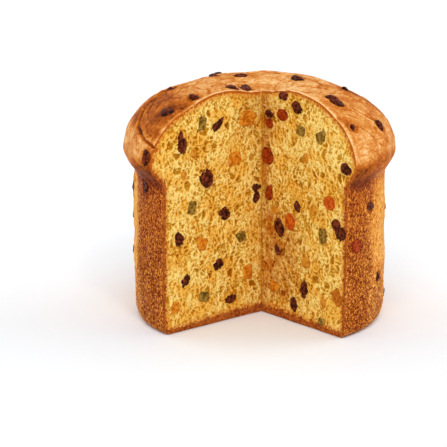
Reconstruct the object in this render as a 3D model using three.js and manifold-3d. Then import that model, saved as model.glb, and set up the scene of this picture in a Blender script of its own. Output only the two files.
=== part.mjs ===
// A panettone: a tall, round sweet loaf with a domed top that has risen over its rim, and a quarter
// wedge cut out of the front. Millimetres, +Z up. The origin is on the loaf's axis, on its flat base,
// and the notch opens towards -Y. Raisins and candied peel stand a little out of the crust and of
// the two cut faces, and are one solid with the loaf.
import * as THREE from "three";
import { mergeVertices } from "three/addons/utils/BufferGeometryUtils.js";
import Module from "manifold-3d";

// Driving dimensions: the side takes the form of a 170 mm round mould, and the dome rises above it.
const WALL_R = 85;
const WALL_BARREL = 0.8;
const BASE_IN = 4.5;
const BASE_ROUND = 9;
const UNDER_RIM_Z = 100;
const RIM_Z = 115.5;
const RIM_R = 91.5;
const DOME_Z = 161.5;
const DOME_POWER = 2.17;
const DIMPLE_DEPTH = 7;
const DIMPLE_R = 22;

// The notch: its inner corner is just in front of the axis, and its two faces run out at these turns.
const CORNER = { x: 2.5, y: -1.5 };
const LEFT_TURN = -45;
const RIGHT_TURN = 47;
const CRUMB_RELIEF = 0.8;

// How finely the solids are divided.
const TURNS = 90;
const DOME_RINGS = 16;
const RIM_RINGS = 5;
const WALL_RINGS = 6;
const ROUND_RINGS = 3;
const FACE_CELL = 7.5;
const FINE_FRUIT_AREA = 100;

const DEG = Math.PI / 180;
const smooth = (u) => u * u * (3 - 2 * u);
const clamp01 = (u) => Math.min(1, Math.max(0, u));
const wrap = (turn) => ((((turn + 180) % 360) + 360) % 360) - 180;

// Where the whole side falls in, where the rim alone swells and where the dome is squarer, each as
// [turn in degrees, how wide in degrees, how much]. A turn is the angle round the axis, 0 at the
// middle of the notch and positive towards +X.
const SIDE_SWELLS = [[-85, 40, -1.7]];
const RIM_SWELLS = [
  [-48, 18, 4.6],
  [-100, 24, 2.0],
  [50, 16, 2.3],
  [96, 26, 0.5],
  [155, 24, 2.6],
  [-155, 26, 2.2],
];
const SQUARER = [[47, 32, 0.22]];

const swell = (list, turn) =>
  list.reduce(
    (sum, [at, wide, much]) =>
      sum + much * Math.exp(-((wrap(turn - at) / wide) ** 2)),
    0,
  );
const wallRadius = (turn) => WALL_R + swell(SIDE_SWELLS, turn);
const rimRadius = (turn) =>
  RIM_R + swell(SIDE_SWELLS, turn) + swell(RIM_SWELLS, turn);

// Folds of the skin on the dome, each from one [turn, climb] to another, with its depth and width in
// millimetres. A climb is 0 at the rim's widest and 90 at the middle of the dome.
const FOLDS = [
  { from: [-96, 50], to: [-76, 33], depth: 1.6, width: 2.2 },
  { from: [-76, 33], to: [-44, 14], depth: 2.0, width: 2.2 },
  { from: [68, 50], to: [73, 27], depth: 0.7, width: 1.8 },
  { from: [95, 66], to: [150, 74], depth: 1.0, width: 2.4 },
  { from: [150, 72], to: [215, 76], depth: 1.0, width: 2.4 },
  { from: [110, 40], to: [165, 30], depth: 1.3, width: 2.8 },
  { from: [185, 34], to: [235, 44], depth: 1.5, width: 2.8 },
  { from: [205, 60], to: [265, 52], depth: 1.0, width: 2.4 },
];
const MM_PER_CLIMB = 1.28;

function foldRelief(turn, climb, r) {
  let relief = 0;
  for (const { from, to, depth, width } of FOLDS) {
    const perTurn = Math.max(r, 8) * DEG;
    const ax = wrap(turn - from[0]) * perTurn;
    const ay = (climb - from[1]) * MM_PER_CLIMB;
    const bx = (to[0] - from[0]) * perTurn;
    const by = (to[1] - from[1]) * MM_PER_CLIMB;
    const along = clamp01((ax * bx + ay * by) / (bx * bx + by * by));
    const away = Math.hypot(ax - along * bx, ay - along * by) / width;
    const below = ay - along * by < 0 ? 1 : 0.35;
    relief -= depth * Math.exp(-away * away);
    relief += 0.5 * depth * below * Math.exp(-((away - 2) ** 2));
  }
  return relief;
}

// Slow unevenness of the whole outside.
const unevenness = (x, y, z) =>
  0.45 * Math.sin(x / 17 + 1.3) * Math.sin(y / 19 - 0.4) +
  0.35 * Math.sin((x + y) / 11 + z / 23) * Math.sin((x - y) / 13 + 2.1) +
  0.25 * Math.sin(z / 9 + x / 31 + 0.8);

// The outside as [radius, height] at a turn, for one of its four stretches and u from 0 to 1 up it.
const STRETCHES = {
  round(u, turn) {
    const a = (u * Math.PI) / 2;
    return [
      wallRadius(turn) - BASE_IN * (1 - Math.sin(a)),
      BASE_ROUND * (1 - Math.cos(a)),
    ];
  },
  wall(u, turn) {
    const z = BASE_ROUND + u * (UNDER_RIM_Z - BASE_ROUND);
    return [wallRadius(turn) + WALL_BARREL * Math.sin(u * Math.PI), z];
  },
  rim(u, turn) {
    const wall = wallRadius(turn);
    return [
      wall + (rimRadius(turn) - wall) * smooth(u),
      UNDER_RIM_Z + u * (RIM_Z - UNDER_RIM_Z),
    ];
  },
  dome(u, turn) {
    const t = (u * Math.PI) / 2;
    const power = 2 / (DOME_POWER + swell(SQUARER, turn));
    const r = rimRadius(turn) * Math.max(Math.cos(t), 0) ** power;
    const rise = (DOME_Z - RIM_Z) * Math.sin(t) ** power;
    const dimple = DIMPLE_DEPTH * Math.exp(-((r / DIMPLE_R) ** 2));
    return [r, RIM_Z + rise - dimple];
  },
};

// A point of the outside with its folds and unevenness, which fade out towards the flat base.
function outside(stretch, u, turn) {
  const [r, z] = STRETCHES[stretch](u, turn);
  const x = r * Math.sin(turn * DEG);
  const y = -r * Math.cos(turn * DEG);
  const fold = stretch === "dome" ? foldRelief(turn, u * 90, r) : 0;
  const relief = (unevenness(x, y, z) + fold) * clamp01(z / 20);
  const up = stretch === "dome" ? Math.sin((u * Math.PI) / 2) : 0;
  const flat = Math.sqrt(1 - up * up);
  const grown = r < 1e-6 ? 1 : (r + relief * flat) / r;
  return new THREE.Vector3(x * grown, y * grown, z + relief * up);
}

// A closed solid from rings of points, with one point at each end.
function solidOfRings(bottom, rings, top) {
  const points = [bottom, ...rings.flat(), top];
  const count = rings[0].length;
  const last = points.length - 1;
  const triangles = [];
  for (let i = 0; i < count; i++) {
    const next = (i + 1) % count;
    triangles.push(0, 1 + next, 1 + i);
    for (let ring = 0; ring < rings.length - 1; ring++) {
      const a = 1 + ring * count;
      const b = a + count;
      triangles.push(a + i, a + next, b + next, a + i, b + next, b + i);
    }
    const a = 1 + (rings.length - 1) * count;
    triangles.push(a + i, a + next, last);
  }
  const geometry = new THREE.BufferGeometry().setFromPoints(points);
  geometry.setIndex(triangles);
  return geometry;
}

function loafGeometry() {
  const levels = [];
  const addLevels = (stretch, rings, first) => {
    for (let i = first; i < rings; i++) levels.push([stretch, i / rings]);
  };
  addLevels("round", ROUND_RINGS, 0);
  addLevels("wall", WALL_RINGS, 0);
  addLevels("rim", RIM_RINGS, 0);
  addLevels("dome", DOME_RINGS, 0);
  const rings = levels.map(([stretch, u]) =>
    Array.from({ length: TURNS }, (_, i) =>
      outside(stretch, u, (i * 360) / TURNS - 180),
    ),
  );
  for (const point of rings[0]) point.z = 0;
  const top = new THREE.Vector3(0, 0, DOME_Z - DIMPLE_DEPTH);
  return solidOfRings(new THREE.Vector3(0, 0, 0), rings, top);
}

// How far the crumb stands out of a cut face, out and up from the foot of the notch's corner.
const crumbRelief = (out, up) =>
  CRUMB_RELIEF *
  (0.6 * Math.sin(out / 2.7 + 1.6 * Math.sin(up / 6.3)) *
    Math.sin(up / 3.1 + 1.5 * Math.sin(out / 5.7)) +
    0.4 * Math.sin(out / 4.9 + 2.2 * Math.sin(up / 11)) *
      Math.sin(up / 7.7 - out / 13));

// The direction in which a cut face runs out from the notch's corner.
const runOut = (turn) =>
  new THREE.Vector3(Math.sin(turn * DEG), -Math.cos(turn * DEG), 0);

// The block that is cut away: a box with its corner edge in the notch's corner, sheared so that its
// two inner faces lie along the notch's. They carry the crumb's relief.
function wedgeGeometry() {
  const side = 110;
  const below = 5;
  const height = DOME_Z + 2 * below;
  const cells = Math.round(side / FACE_CELL);
  const levels = Math.round(height / FACE_CELL);
  const box = new THREE.BoxGeometry(side, side, height, cells, cells, levels);
  box.translate(side / 2, side / 2, height / 2 - below);
  const place = box.getAttribute("position");
  for (let i = 0; i < place.count; i++) {
    const [x, y, z] = [place.getX(i), place.getY(i), place.getZ(i)];
    const away = clamp01(Math.max(x, y) / 10);
    if (y < 1e-3) place.setY(i, away * crumbRelief(x, z));
    if (x < 1e-3) place.setX(i, away * crumbRelief(y + 40, z));
  }
  const shear = new THREE.Matrix4().makeBasis(
    runOut(LEFT_TURN),
    runOut(RIGHT_TURN),
    new THREE.Vector3(0, 0, 1),
  );
  box.applyMatrix4(shear.setPosition(CORNER.x, CORNER.y, 0));
  return box;
}

// What is baked into the crumb, as [out, up, kind, wide, high, roll]: millimetres out from the notch's
// corner and up from the base, then the piece's width and height, and its roll in degrees.
const LEFT_FACE = [
  [68.7, 128.5, "raisin", 8, 17, 2],
  [51.5, 139.5, "citron", 7, 10.5, 4],
  [38.2, 137.2, "raisin", 6.5, 14.5, 42],
  [12, 137, "orange", 12, 10, 12],
  [23.5, 111.5, "orange", 10, 9, -10],
  [48.2, 100.5, "raisin", 11.5, 14, 4],
  [67.5, 107, "orange", 5.5, 6, 20],
  [5.5, 88.5, "raisin", 9.5, 7.5, 0],
  [5, 81.5, "raisin", 7, 8, 20],
  [58.5, 120.5, "orange", 6, 6, 15],
  [60.5, 84, "citron", 7, 9, 15],
  [32, 75, "raisin", 10, 8.5, 30],
  [72, 64, "raisin", 9, 12, -12],
  [52, 57, "orange", 9, 8, 25],
  [18, 56, "citron", 8, 7, -10],
  [38, 40, "raisin", 11, 9, 0],
  [66, 35, "raisin", 8, 11, 24],
  [12, 30, "orange", 8, 10, 0],
  [50, 20, "citron", 9, 7, 12],
  [75, 17, "orange", 7, 8, 0],
  [27, 14, "raisin", 10, 8, -20],
];
const RIGHT_FACE = [
  [21, 154, "raisin", 10, 6.5, 0],
  [6.5, 139.5, "raisin", 8, 6, 0],
  [7, 133, "cherry", 8, 7, 0],
  [20.5, 141, "cherry", 12, 8.5, 0],
  [34, 148.5, "raisin", 12, 9, -10],
  [38, 133.5, "citron", 8, 7, -12],
  [57.5, 132.5, "citron", 9.5, 8, 30],
  [4.5, 110, "cherry", 10, 11.5, 0],
  [43, 115.5, "orange", 5, 7.5, 8],
  [81.5, 116, "raisin", 11, 8, 0],
  [6.5, 84.5, "cherry", 6.5, 11, -10],
  [35, 81.5, "raisin", 7, 9.5, 12],
  [65.5, 89.5, "cherry", 12, 9.5, 0],
  [50.5, 81.5, "orange", 8, 8, -20],
  [13.5, 74, "orange", 7, 5, 0],
  [28.5, 69, "cherry", 9.5, 11.5, 10],
  [18, 63, "raisin", 8.5, 14, 14],
  [60, 66, "citron", 7, 10, 14],
  [72.5, 76.5, "raisin", 8, 8.5, 20],
  [76.8, 71.5, "raisin", 9.5, 9, 0],
  [16, 46.5, "raisin", 5, 9.5, 16],
  [44, 44, "orange", 8.5, 8, 10],
  [42.5, 25, "raisin", 9.5, 12, 0],
  [32.5, 12, "raisin", 7.5, 12, 24],
  [61, 20, "orange", 6, 7.5, 0],
  [74.5, 27, "orange", 12, 15, 10],
  [59.5, 6.5, "citron", 6, 5, 0],
  [13, 20, "orange", 8, 7, -12],
];

// Pieces on the outside, as [turn, stretch, climb on the dome or height elsewhere, kind, long, wide,
// roll].
const OUTSIDE_FRUIT = [
  [-52.5, "dome", 43, "raisin", 14, 8.5, 14],
  [-51.5, "dome", 59, "raisin", 11, 6, 0],
  [-96, "dome", 50, "raisin", 9, 6, 0],
  [-130, "dome", 64, "raisin", 12, 7, 20],
  [-150, "dome", 74, "raisin", 12, 7, 0],
  [-60, "dome", 77, "raisin", 13, 8, 10],
  [-84, "dome", 83, "raisin", 13, 8, -10],
  [122, "dome", 73, "raisin", 15, 8, 0],
  [63, "dome", 57.5, "raisin", 12, 9, -20],
  [61.5, "dome", 51.5, "raisin", 11, 9.5, -35],
  [75, "dome", 25, "raisin", 10, 7, 60],
  [55, "dome", 31, "raisin", 6, 4.5, 20],
  [105, "dome", 52, "raisin", 8, 5, 0],
  [-48, "dome", 8, "raisin", 6, 12, 0],
  [-53, "rim", 105, "raisin", 7, 11, 0],
  [65, "wall", 85.5, "raisin", 10, 7.5, 20],
  [53.5, "wall", 62, "cherry", 8, 9, 0],
  [74, "wall", 33.5, "raisin", 7, 9, 60],
];
// Round the back, where no piece is counted out, they are drawn at random from a fixed seed, each in
// the first of its draws that keeps clear of the others.
const BACK_FRUIT = [
  { stretch: "dome", count: 11, turns: [108, 252], climbs: [6, 66] },
  { stretch: "wall", count: 15, turns: [86, 278], climbs: [14, 92] },
];
const FRUIT_GAP = 20;
const SEED = 20;

let state = SEED;
const draw = (low, high) => {
  state = (state * 16807) % 2147483647;
  return low + ((high - low) * state) / 2147483647;
};

const SPANS = {
  wall: [BASE_ROUND, UNDER_RIM_Z],
  rim: [UNDER_RIM_Z, RIM_Z],
  dome: [0, 90],
};
const share = (stretch, climb) => {
  const [low, high] = SPANS[stretch];
  return (climb - low) / (high - low);
};

function outsideFruit() {
  const list = [...OUTSIDE_FRUIT];
  const taken = list.map(([turn, stretch, climb]) =>
    outside(stretch, share(stretch, climb), turn),
  );
  for (const { stretch, count, turns, climbs } of BACK_FRUIT) {
    let wanted = count;
    while (wanted > 0) {
      const turn = draw(...turns);
      const climb = draw(...climbs);
      const at = outside(stretch, share(stretch, climb), turn);
      if (taken.some((other) => other.distanceTo(at) < FRUIT_GAP)) continue;
      taken.push(at);
      const [long, wide, roll] = [draw(8, 12), draw(6, 8), draw(0, 180)];
      list.push([turn, stretch, climb, "raisin", long, wide, roll]);
      wanted -= 1;
    }
  }
  return list;
}

// How far a piece of fruit's middle lies under the surface, and half its thickness.
const FRUIT_SUNK = 0.7;
const FRUIT_HALF_THICK = 2.0;

// A raisin is a low lump with wrinkles, and candied peel a block with its corners taken off.
function fruitGeometry(kind, wide, high) {
  const soft = kind === "raisin" || kind === "cherry";
  const detail = soft && wide * high > FINE_FRUIT_AREA ? 1 : 0;
  const lump = soft
    ? new THREE.IcosahedronGeometry(1, detail)
    : new THREE.BoxGeometry(1.5, 1.5, 1.7);
  const place = lump.getAttribute("position");
  for (let i = 0; i < place.count; i++) {
    const p = new THREE.Vector3().fromBufferAttribute(place, i);
    const wrinkle = 1 + 0.1 * Math.sin(5.3 * p.x + 3.1 * p.y + wide);
    place.setXYZ(
      i,
      (p.x * wrinkle * wide) / 2,
      (p.y * wrinkle * high) / 2,
      p.z * wrinkle * FRUIT_HALF_THICK,
    );
  }
  return lump;
}

// Places fruit flat on a surface: its thickness along the normal, its height along up, then rolled.
function placeFruit(geometry, at, normal, up, roll) {
  const across = new THREE.Vector3().crossVectors(up, normal).normalize();
  const along = new THREE.Vector3().crossVectors(normal, across);
  const centre = at.clone().addScaledVector(normal, -FRUIT_SUNK);
  geometry.rotateZ(roll * DEG);
  geometry.applyMatrix4(
    new THREE.Matrix4().makeBasis(across, along, normal).setPosition(centre),
  );
  return geometry;
}

function faceFruit(list, side, turn) {
  const outward = runOut(turn);
  const normal = new THREE.Vector3(side * outward.y, -side * outward.x, 0);
  const corner = new THREE.Vector3(CORNER.x, CORNER.y, 0);
  const up = new THREE.Vector3(0, 0, 1);
  return list.map(([out, height, kind, wide, high, roll]) => {
    const at = corner.clone().addScaledVector(outward, out);
    at.z = height;
    const fruit = fruitGeometry(kind, wide, high);
    return placeFruit(fruit, at, normal, up, side * roll);
  });
}

function crustFruit() {
  return outsideFruit().map(([turn, stretch, climb, kind, ...sizes]) => {
    const [long, wide, roll] = sizes;
    const u = share(stretch, climb);
    const at = outside(stretch, u, turn);
    const acrossTo = outside(stretch, u, turn + 2);
    const upTo = outside(stretch, u + 0.02, turn);
    const across = acrossTo.sub(at);
    const up = upTo.sub(at).normalize();
    const normal = new THREE.Vector3().crossVectors(across, up).normalize();
    const fruit = fruitGeometry(kind, long, wide);
    return placeFruit(fruit, at, normal, up, roll);
  });
}

const wasm = await Module();
wasm.setup();

function toSolid(geometry) {
  const bare = geometry.clone();
  bare.deleteAttribute("normal");
  bare.deleteAttribute("uv");
  const merged = mergeVertices(bare, 1e-4);
  return new wasm.Manifold(
    new wasm.Mesh({
      numProp: 3,
      vertProperties: new Float32Array(merged.getAttribute("position").array),
      triVerts: new Uint32Array(merged.index.array),
    }),
  );
}

function toGeometry(solid) {
  const { vertProperties, triVerts } = solid.getMesh();
  const geometry = new THREE.BufferGeometry();
  geometry.setAttribute(
    "position",
    new THREE.BufferAttribute(new Float32Array(vertProperties), 3),
  );
  geometry.setIndex(new THREE.BufferAttribute(new Uint32Array(triVerts), 1));
  geometry.computeVertexNormals();
  return geometry;
}

let loaf = toSolid(loafGeometry()).subtract(toSolid(wedgeGeometry()));
const fruit = [
  ...faceFruit(LEFT_FACE, -1, LEFT_TURN),
  ...faceFruit(RIGHT_FACE, 1, RIGHT_TURN),
  ...crustFruit(),
];
for (const piece of fruit) loaf = loaf.add(toSolid(piece));

const crust = new THREE.MeshStandardMaterial({
  color: new THREE.Color(0.62, 0.3, 0.09),
  roughness: 0.6,
  metalness: 0,
});
const panettone = new THREE.Mesh(toGeometry(loaf), crust);
panettone.name = "panettone";

const root = new THREE.Group();
root.add(panettone);
export default root;
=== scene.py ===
import itertools
import math

import bmesh
import bpy
import numpy as np
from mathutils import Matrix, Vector


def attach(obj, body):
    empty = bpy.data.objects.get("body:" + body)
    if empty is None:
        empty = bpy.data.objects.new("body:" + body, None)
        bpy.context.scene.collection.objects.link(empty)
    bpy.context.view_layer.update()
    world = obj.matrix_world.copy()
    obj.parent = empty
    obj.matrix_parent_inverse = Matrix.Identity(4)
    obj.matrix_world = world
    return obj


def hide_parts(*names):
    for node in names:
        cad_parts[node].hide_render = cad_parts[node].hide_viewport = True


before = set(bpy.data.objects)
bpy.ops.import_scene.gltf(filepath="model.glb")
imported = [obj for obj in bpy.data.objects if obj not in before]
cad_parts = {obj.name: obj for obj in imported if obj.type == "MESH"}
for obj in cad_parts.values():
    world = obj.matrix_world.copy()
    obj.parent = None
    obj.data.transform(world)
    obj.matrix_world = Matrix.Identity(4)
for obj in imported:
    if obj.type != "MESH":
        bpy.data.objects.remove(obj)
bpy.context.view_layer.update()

# A panettone with a quarter cut out, in millimetres until each mesh is made. The loaf's form is that
# of the solid that it replaces, with the fine relief of its crust and the pores of its crumb added.
MM = 0.001
NODE = "panettone"
BODY = "root"

# The form of the loaf, as in the solid.
WALL_R = 85.0
WALL_BARREL = 0.8
BASE_IN = 4.5
BASE_ROUND = 9.0
UNDER_RIM_Z = 100.0
RIM_Z = 115.5
RIM_R = 91.5
DOME_Z = 161.5
DOME_POWER = 2.17
DIMPLE_DEPTH = 7.0
DIMPLE_R = 22.0
CORNER_X = 2.5
CORNER_Y = -1.5
FACE_TURN = {-1: -45.0, 1: 47.0}

# How fine the meshes are, in millimetres, and about how many points the widest and the narrowest
# rings have.
CRUST_STEP = 0.74
CRUMB_STEP = 0.45
TURNS = 768
LEAST_TURNS = 12

# Where the whole side falls in, where the rim alone swells and where the dome is squarer: turn and
# width in degrees, and how much. A turn is the angle round the axis, 0 at the middle of the notch
# and positive towards +X.
SIDE_SWELLS = [(-85, 40, -1.7)]
RIM_SWELLS = [
    (-48, 18, 4.6),
    (-100, 24, 2.0),
    (50, 16, 2.3),
    (96, 26, 0.5),
    (155, 24, 2.6),
    (-155, 26, 2.2),
]
SQUARER = [(47, 32, 0.22)]

# Folds of the dome's skin: places as (turn, climb), the depth, the width and how much the line
# sways. A climb is 0 at the rim's widest and 90 at the middle of the dome.
FOLDS = [
    ([(-100, 54), (-80, 35), (-68, 25.5), (-57, 22), (-44, 16), (-32, 11)], 2.0, 1.5, 0.3),
    ([(64, 55), (70, 40), (74, 25)], 0.8, 1.2, 0.4),
    ([(84, 56), (91, 37), (93, 22), (92, 2)], 0.7, 1.2, 0.8),
    ([(52, 33), (58, 27), (64, 20), (69, 8)], 0.45, 0.9, 0.6),
    ([(53, 46), (60, 39), (64, 31)], 0.4, 0.9, 0.6),
    ([(71, 20), (77, 12), (81, 2)], 0.35, 0.8, 0.6),
    ([(34, 82), (64, 73), (86, 66), (110, 60)], 0.5, 1.0, 1.0),
    ([(52, 68), (78, 60), (104, 53)], 0.4, 0.9, 1.0),
    ([(124, 82), (106, 70), (114, 54)], 0.5, 1.0, 1.2),
    ([(-118, 68), (-84, 63), (-58, 68), (-40, 65)], 0.5, 1.0, 1.0),
    ([(-102, 77), (-72, 71), (-46, 75)], 0.45, 0.9, 1.0),
    ([(-140, 80), (-60, 85), (40, 86), (94, 76)], 0.5, 1.0, 1.2),
    ([(-98, 61), (-74, 52), (-54, 55)], 0.4, 0.9, 0.8),
    ([(-88, 49), (-68, 36), (-50, 29)], 0.3, 0.8, 0.6),
    ([(-76, 50), (-60, 38), (-46, 34)], 0.3, 0.8, 0.6),
    ([(-74, 33), (-58, 28), (-46, 22)], 0.25, 0.7, 0.5),
    ([(88, 64), (122, 68), (160, 76)], 0.9, 1.5, 1.3),
    ([(140, 71), (182, 70), (224, 77)], 0.9, 1.5, 1.3),
    ([(102, 43), (140, 37), (174, 28)], 1.1, 1.6, 1.4),
    ([(176, 33), (212, 36), (244, 46)], 1.2, 1.6, 1.4),
    ([(196, 62), (238, 59), (274, 50)], 0.9, 1.5, 1.3),
    ([(118, 24), (134, 17), (150, 4)], 0.6, 1.1, 1.0),
    ([(190, 20), (204, 12), (222, 8)], 0.6, 1.1, 1.0),
    ([(236, 32), (250, 22), (258, 6)], 0.8, 1.3, 1.0),
    ([(160, 56), (172, 48), (192, 46)], 0.5, 1.0, 1.0),
]

# Over how many millimetres a fold runs out at each end, within what radius it sways less, and how
# many millimetres one step of climb is.
FOLD_END = 11.0
FOLD_CALM_R = 75.0
MM_PER_CLIMB = 1.28

# What is baked into the crumb of each cut face: millimetres out from the notch's corner and up from
# the base, the kind, the width and height, and the roll in degrees.
LEFT_FACE = [
    (68.7, 128.5, "raisin", 8, 17, 2),
    (51.5, 139.5, "citron", 6.2, 9, 8),
    (38.2, 137.2, "raisin", 6.5, 14.5, 42),
    (12, 137, "orange", 12, 10, 12),
    (23.5, 111.5, "orange", 10, 9, -10),
    (48.2, 100.5, "raisin", 11.5, 14, 4),
    (67.5, 107, "soft", 5.5, 6, 20),
    (5.5, 88.5, "raisin", 9.5, 7.5, 0),
    (5, 81.5, "raisin", 7, 8, 20),
    (58.5, 120.5, "soft", 6, 6, 15),
    (60.5, 84, "citron", 7, 9, 15),
    (32, 75, "raisin", 10, 8.5, 30),
    (72, 64, "raisin", 9, 12, -12),
    (52, 57, "orange", 9, 8, 25),
    (18, 56, "citron", 8, 7, -10),
    (38, 40, "raisin", 11, 9, 0),
    (66, 35, "raisin", 8, 11, 24),
    (12, 30, "orange", 8, 10, 0),
    (50, 20, "citron", 9, 7, 12),
    (75, 17, "orange", 7, 8, 0),
    (27, 14, "raisin", 10, 8, -20),
]
RIGHT_FACE = [
    (21, 154, "raisin", 10, 6.5, 0),
    (6.5, 139.5, "raisin", 8, 6, 0),
    (7, 133, "cherry", 8, 7, 0),
    (20.5, 141, "cherry", 12, 8.5, 0),
    (34, 148.5, "raisin", 12, 9, -10),
    (38, 133.5, "citron", 8, 7, -12),
    (57.5, 132.5, "citron", 9.5, 8, 30),
    (5.5, 110, "cherry", 12, 12, 0),
    (43, 115.5, "soft", 5, 7.5, 8),
    (81, 116, "raisin", 13.5, 8.5, 0),
    (7, 84.5, "cherry", 8.5, 11, -10),
    (35, 81.5, "raisin", 7, 9.5, 12),
    (65.5, 89.5, "amber", 12, 9.5, 0),
    (50.5, 81.5, "soft", 8, 8, -20),
    (13.5, 74, "soft", 7, 5, 0),
    (28.5, 69, "amber", 9.5, 11.5, 10),
    (18, 63, "raisin", 10.5, 14, 14),
    (60, 66, "citron", 7, 10, 14),
    (72.5, 76.5, "raisin", 10, 9.5, 20),
    (76.3, 71.5, "raisin", 11.5, 11, 0),
    (16, 46.5, "raisin", 5, 9.5, 16),
    (44, 44, "soft", 8.5, 8, 10),
    (42.5, 25, "raisin", 9.5, 12, 0),
    (32.5, 12, "raisin", 7.5, 12, 24),
    (61, 20, "soft", 6, 7.5, 0),
    (74.5, 27, "toffee", 8.6, 10.2, 40),
    (59.5, 6.5, "citron", 6, 5, 0),
    (13, 20, "orange", 8, 7, -12),
]

# Pieces on the outside: turn, stretch of the outline, climb on the dome or height elsewhere, kind,
# length, width and roll.
OUTSIDE_FRUIT = [
    (-52, "dome", 43, "raisin", 16.5, 10, 14),
    (-51.5, "dome", 59, "raisin", 11, 6, 0),
    (-96, "dome", 50, "raisin", 9, 6, 0),
    (-130, "dome", 64, "raisin", 12, 7, 20),
    (-150, "dome", 74, "raisin", 12, 7, 0),
    (-62, "dome", 79.5, "raisin", 16, 8, 10),
    (-88, "dome", 85.5, "raisin", 14, 8, -10),
    (122, "dome", 73, "raisin", 15, 8, 0),
    (63.5, "dome", 56.5, "raisin", 12, 9.5, -20),
    (61, "dome", 52, "raisin", 12, 11.5, -35),
    (75, "dome", 25, "raisin", 9, 6, 60),
    (53, "dome", 31.5, "raisin", 5, 3.5, 70),
    (105, "dome", 52, "raisin", 8, 5, 0),
    (-46.3, "dome", 8, "raisin", 6, 12, 0),
    (-58, "wall", 98, "raisin", 9, 11, 0),
    (65, "wall", 85.5, "raisin", 13, 6.5, -12),
    (53.5, "wall", 62, "cherry", 8, 9, 0),
    (74, "wall", 33.5, "raisin", 7, 9, 60),
]

# Pieces that are drawn for the back: stretch, how many, and between which turns and climbs.
BACK_FRUIT = [
    ("dome", 11, (108, 252), (6, 66)),
    ("wall", 15, (86, 278), (14, 92)),
]

# The least gap between those pieces, their seed, how deep a piece is sunk, half its thickness, and
# how much plumper the crown's are.
FRUIT_GAP = 20.0
FRUIT_SEED = 20
FRUIT_SUNK = 0.7
FRUIT_HALF_THICK = 2.0
OUTSIDE_PLUMP = 1.5


# Noise and small helpers
def clamp01(u):
    return np.clip(u, 0.0, 1.0)


def step(low, high, value):
    """0 below low, 1 above high, and a smooth rise between them; low may be the greater one."""
    u = clamp01((value - low) / (high - low))
    return u * u * (3 - 2 * u)


def wrap(turn):
    return (turn + 180.0) % 360.0 - 180.0


def lattice(ix, iy, iz, seed):
    """A repeatable number from 0 to 1 for each whole-number place."""
    h = (ix * 0x9E3779B1 + iy * 0x85EBCA77 + iz * 0xC2B2AE3D + seed * 0x27D4EB2F) & 0xFFFFFFFF
    h = ((h ^ (h >> 15)) * 0x2C1B3C6D) & 0xFFFFFFFF
    h = ((h ^ (h >> 12)) * 0x297A2D39) & 0xFFFFFFFF
    return ((h ^ (h >> 15)) & 0xFFFFFF) / float(0xFFFFFF)


def cells(points, size):
    """The whole-number cell that each point lies in, and where it lies in that cell, from 0 to 1."""
    grid = points / np.asarray(size, float)
    cell = np.floor(grid).astype(np.int64)
    return cell, grid - cell


def noise(points, size, seed):
    """Smooth noise from -1 to 1 at each point, with lumps about size wide."""
    cell, part = cells(points, size)
    part = part**3 * (part * (part * 6 - 15) + 10)
    total = np.zeros(len(points))
    for corner in itertools.product((0, 1), repeat=3):
        share = 1.0
        for axis in range(3):
            share = share * (part[:, axis] if corner[axis] else 1 - part[:, axis])
        total += share * lattice(*(cell + corner).T, seed)
    return 2 * total - 1


def layered(points, size, layers, seed):
    """Noise with finer and weaker layers on it, from about -1 to 1."""
    total = np.zeros(len(points))
    for k in range(layers):
        total += noise(points + 13.7 * k, np.asarray(size, float) / 2**k, seed + k) / 2**k
    return total / (2 - 0.5 ** (layers - 1))


def creases(points, size, seed, sharp):
    """Lines of 1 that fade to 0 on both sides, the thinner the greater sharp is."""
    return (1 - np.abs(noise(points, size, seed))) ** sharp


def nearest_cells(points, size, seed):
    """For each point, how far it is from the nearest point of an uneven scatter, in sizes, how much
    farther the next one is, and a number from 0 to 1 that belongs to the nearest."""
    cell, part = cells(points, size)
    best = np.full(len(points), 9.0)
    second = np.full(len(points), 9.0)
    mark = np.zeros(len(points))
    for shift in itertools.product((-1, 0, 1), repeat=3):
        at = (cell + shift).T
        away = 0.0
        for axis in range(3):
            away = away + (shift[axis] + lattice(*at, seed + axis) - part[:, axis]) ** 2
        closer = away < best
        second = np.minimum(second, np.where(closer, best, away))
        best = np.where(closer, away, best)
        mark = np.where(closer, lattice(*at, seed + 3), mark)
    return np.sqrt(best), np.sqrt(second) - np.sqrt(best), mark


# The outside of the loaf
def swell(table, turn):
    return sum(much * np.exp(-((wrap(turn - at) / wide) ** 2)) for at, wide, much in table)


def wall_radius(turn):
    return WALL_R + swell(SIDE_SWELLS, turn)


def rim_radius(turn):
    return RIM_R + swell(SIDE_SWELLS, turn) + swell(RIM_SWELLS, turn)


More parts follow.
